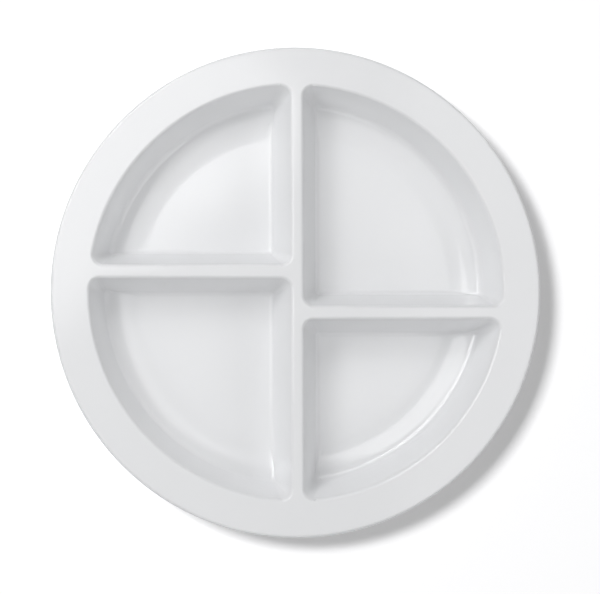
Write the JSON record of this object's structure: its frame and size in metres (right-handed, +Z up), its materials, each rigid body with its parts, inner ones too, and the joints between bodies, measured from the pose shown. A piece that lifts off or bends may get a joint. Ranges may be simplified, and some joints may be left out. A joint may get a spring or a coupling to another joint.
{
  "type": "divided compartment plate",
  "caption": "Round one-piece plate with a wide flat rim and sloped pockets kept apart by hollow dividers, for serving portions of food.",
  "frame": {"origin": "on the table, under the middle of the plate", "axes": "+Z up out of the pockets, +Y to the far side along the long divider, +X to the right along the cross dividers"},
  "size_m": [0.26, 0.26, 0.0265],
  "materials": {
    "moulded_white": "gloss"
  },
  "bodies": {
    "root": {"plate": "moulded_white"}
  },
  "joints": []
}
